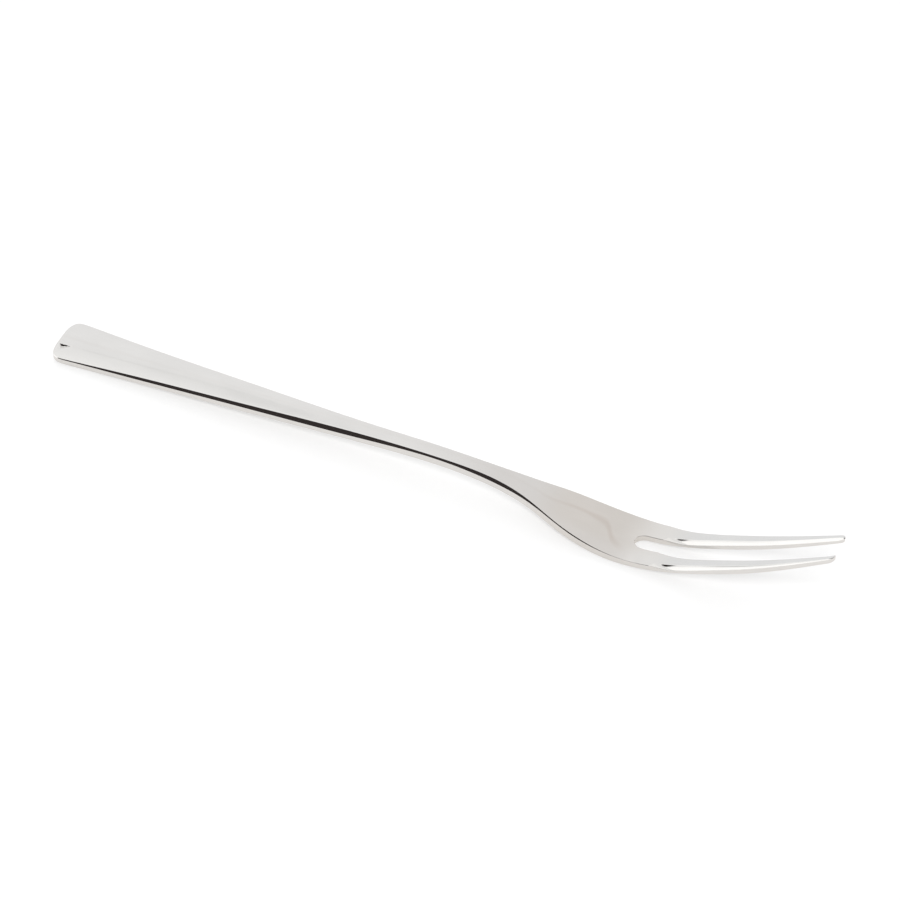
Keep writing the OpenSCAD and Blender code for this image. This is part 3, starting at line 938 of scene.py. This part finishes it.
def studio_world():
    """A white background for the camera, plain light, and a studio for what the steel mirrors."""
    world = bpy.data.worlds.get("studio") or bpy.data.worlds.new("studio")
    world.use_nodes = True
    tree = world.node_tree
    tree.nodes.clear()
    links = tree.links
    split = node(tree, "ShaderNodeSeparateXYZ")
    links.new(node(tree, "ShaderNodeTexCoord").outputs["Generated"], split.inputs[0])
    x, y, z = split.outputs
    degrees = lambda angle: math_node(tree, "MULTIPLY", angle, 180 / math.pi)
    up = degrees(math_node(tree, "ARCSINE", z))
    behind = degrees(math_node(tree, "ARCTAN2", x, y))
    before = degrees(math_node(tree, "ARCTAN2", x, math_node(tree, "MULTIPLY", y, -1)))
    colour = None
    for name, front, left, right, low, high, soft_across, soft_up, card in CARDS:
        window = node(tree, "ShaderNodeGroup", label=name, node_tree=card_window())
        links.new(before if front else behind, window.inputs["Across"])
        links.new(up, window.inputs["Up"])
        for socket, value in (("Left", left), ("Right", right), ("Low", low), ("High", high),
                              ("Edge across", soft_across), ("Edge up", soft_up)):
            window.inputs[socket].default_value = value
        layer = node(tree, "ShaderNodeMix", data_type="RGBA", label=name)
        links.new(window.outputs["Mask"], layer.inputs["Factor"])
        if colour is None:
            layer.inputs["A"].default_value = (*TENT_COLOUR, 1)
        else:
            links.new(colour, layer.inputs["A"])
        layer.inputs["B"].default_value = (*card, 1)
        colour = layer.outputs["Result"]
    path = node(tree, "ShaderNodeLightPath")
    seen = node(tree, "ShaderNodeMix", data_type="RGBA", label="what the steel mirrors")
    links.new(path.outputs["Is Glossy Ray"], seen.inputs["Factor"])
    seen.inputs["A"].default_value = (*PLAIN_LIGHT, 1)
    links.new(colour, seen.inputs["B"])
    shown = node(tree, "ShaderNodeMix", data_type="RGBA", label="white behind the object")
    links.new(path.outputs["Is Camera Ray"], shown.inputs["Factor"])
    links.new(seen.outputs["Result"], shown.inputs["A"])
    shown.inputs["B"].default_value = (1, 1, 1, 1)
    background = node(tree, "ShaderNodeBackground")
    links.new(shown.outputs["Result"], background.inputs["Color"])
    out = node(tree, "ShaderNodeOutputWorld")
    links.new(background.outputs["Background"], out.inputs["Surface"])
    bpy.context.scene.world = world


# The table's colour as the steel mirrors it and as the camera sees it, where nothing shades it,
# and half of its width in metres, with its cells from side to side
MIRRORED_TABLE = (0.9, 0.88, 0.868)
WHITE_TABLE = (1.03, 1.03, 1.03)
TABLE_HALF_WIDTH = 1.5
TABLE_CELLS = 6


def white_table(studio):
    """A wide table whose own colour is white to the camera, and which keeps the fork's shadow."""
    mesh = bpy.data.meshes.new("table")
    wide = TABLE_CELLS + 1
    steps = np.linspace(-TABLE_HALF_WIDTH, TABLE_HALF_WIDTH, wide)
    verts = [(x, y, 0.0) for y in steps for x in steps]
    faces = [(r * wide + c, r * wide + c + 1, (r + 1) * wide + c + 1, (r + 1) * wide + c)
             for r in range(TABLE_CELLS) for c in range(TABLE_CELLS)]
    mesh.from_pydata(verts, [], faces)
    table = bpy.data.objects.new("table", mesh)
    bpy.context.scene.collection.objects.link(table)
    material = bpy.data.materials.new("white_table")
    material.use_nodes = True
    tree = material.node_tree
    tree.nodes.clear()
    links = tree.links
    path = node(tree, "ShaderNodeLightPath")
    plain = node(tree, "ShaderNodeBsdfDiffuse")
    plain.inputs["Color"].default_value = (*studio.table_colour, 1)

    def seen_table(kind_of_ray, under, level):
        """The table as one kind of ray sees it: its own white, darkened only by the shadow."""
        tone = (*level, 1)
        white = node(tree, "ShaderNodeEmission")
        white.inputs["Color"].default_value = tone
        lit = node(tree, "ShaderNodeBsdfDiffuse")
        lit.inputs["Color"].default_value = tone
        shaded = node(tree, "ShaderNodeMixShader")
        shaded.inputs[0].default_value = studio.shadow_share
        links.new(white.outputs[0], shaded.inputs[1])
        links.new(lit.outputs[0], shaded.inputs[2])
        chosen = node(tree, "ShaderNodeMixShader")
        links.new(path.outputs[kind_of_ray], chosen.inputs[0])
        links.new(under, chosen.inputs[1])
        links.new(shaded.outputs[0], chosen.inputs[2])
        return chosen.outputs[0]

    mirrored = seen_table("Is Glossy Ray", plain.outputs[0], MIRRORED_TABLE)
    shown = seen_table("Is Camera Ray", mirrored, WHITE_TABLE)
    clear = node(tree, "ShaderNodeBsdfTransparent")
    from_below = math_node(tree, "MULTIPLY", path.outputs["Is Camera Ray"],
                           node(tree, "ShaderNodeNewGeometry").outputs["Backfacing"])
    whole = node(tree, "ShaderNodeMixShader")
    links.new(from_below, whole.inputs[0])
    links.new(shown, whole.inputs[1])
    links.new(clear.outputs[0], whole.inputs[2])
    out = node(tree, "ShaderNodeOutputMaterial")
    links.new(whole.outputs[0], out.inputs["Surface"])
    mesh.materials.append(material)


def direction(height, turn):
    """Unit vector at a height above the table, turned from the near side of the fork."""
    return Vector((math.sin(turn) * math.cos(height), -math.cos(turn) * math.cos(height),
                   math.sin(height)))


def soft_lamp(name, place, size, level):
    """A square lamp that faces the fork and lights the table to a share of plain white."""
    distance = place.length
    light = bpy.data.lights.new(name, "AREA")
    light.size = size
    light.energy = level * (math.pi * distance) ** 2 * distance / place.z
    lamp = bpy.data.objects.new(name, light)
    lamp.location = place
    lamp.rotation_mode = "QUATERNION"
    lamp.rotation_quaternion = place.to_track_quat("Z", "Y")
    lamp.visible_glossy = False
    bpy.context.scene.collection.objects.link(lamp)


# Lamps: name, height above the table and turn from the camera's side in degrees, distance and
# size in metres, and the share of plain white that each one lights the table to
LAMPS = (
    ("lamp_front", 56, 0, 1.4, 0.28, 0.31),
    ("lamp_above", 70, 180, 1.2, 1.3, 0.2),
    ("lamp_low", 28, 180, 1.5, 1.3, 0.09),
)


# What the camera looks at, the width of its sensor in millimetres and the range that it sees
CAMERA_TARGET = Vector((-0.17 * MM, 6.41 * MM, 0))
SENSOR_WIDTH = 36
CLIP_RANGE = (0.01, 20)


def studio_camera(studio):
    """A camera at the photograph's angle, which looks at the middle of the picture."""
    back = direction(studio.elevation, studio.azimuth)
    data = bpy.data.cameras.new("camera")
    data.sensor_width = SENSOR_WIDTH
    data.lens = studio.focal_length
    data.clip_start, data.clip_end = CLIP_RANGE
    camera = bpy.data.objects.new("camera", data)
    camera.location = CAMERA_TARGET + back * studio.distance
    camera.rotation_mode = "QUATERNION"
    camera.rotation_quaternion = back.to_track_quat("Z", "Y")
    bpy.context.scene.collection.objects.link(camera)
    return camera


class FORK_OT_studio(bpy.types.Operator):
    """Set up the table, the light and the camera"""

    bl_idname = "oyster_fork.studio"
    bl_label = "Studio"

    def execute(self, context):
        studio = context.scene.fork_studio
        white_table(studio)
        studio_world()
        for name, height, turn, distance, size, level in LAMPS:
            towards_lamp = direction(math.radians(height), studio.azimuth + math.radians(turn))
            soft_lamp(name, towards_lamp * distance, size, level)
        context.scene.camera = studio_camera(studio)
        context.scene.view_settings.view_transform = "Standard"
        return {"FINISHED"}


class FORK_PT_panel(bpy.types.Panel):
    """Lists the fork's pieces and sizes"""

    bl_label = "Oyster fork"
    bl_space_type = "VIEW_3D"
    bl_region_type = "UI"
    bl_category = "Oyster fork"

    def draw(self, context):
        layout = self.layout
        for operator in OPERATORS:
            layout.operator(operator.bl_idname)
        for group in GROUPS:
            values = getattr(context.scene, group)
            box = layout.box()
            for name in values.__annotations__:
                box.prop(values, name)


GROUPS = {"fork_plan": ForkPlan, "fork_profile": ForkProfile, "fork_steel": SteelLook,
          "fork_studio": Studio}
OPERATORS = (FORK_OT_handle, FORK_OT_neck, FORK_OT_head, FORK_OT_tines, FORK_OT_studio)


def register():
    for entry in (*GROUPS.values(), *OPERATORS, FORK_PT_panel):
        bpy.utils.register_class(entry)
    for name, group in GROUPS.items():
        setattr(bpy.types.Scene, name, bpy.props.PointerProperty(type=group))


def unregister():
    for name in GROUPS:
        delattr(bpy.types.Scene, name)
    for entry in reversed((*GROUPS.values(), *OPERATORS, FORK_PT_panel)):
        bpy.utils.unregister_class(entry)


def main():
    register()
    bpy.ops.oyster_fork.handle()
    bpy.ops.oyster_fork.neck()
    bpy.ops.oyster_fork.head()
    bpy.ops.oyster_fork.tines()
    bpy.ops.oyster_fork.studio()


if __name__ == "__main__":
    main()
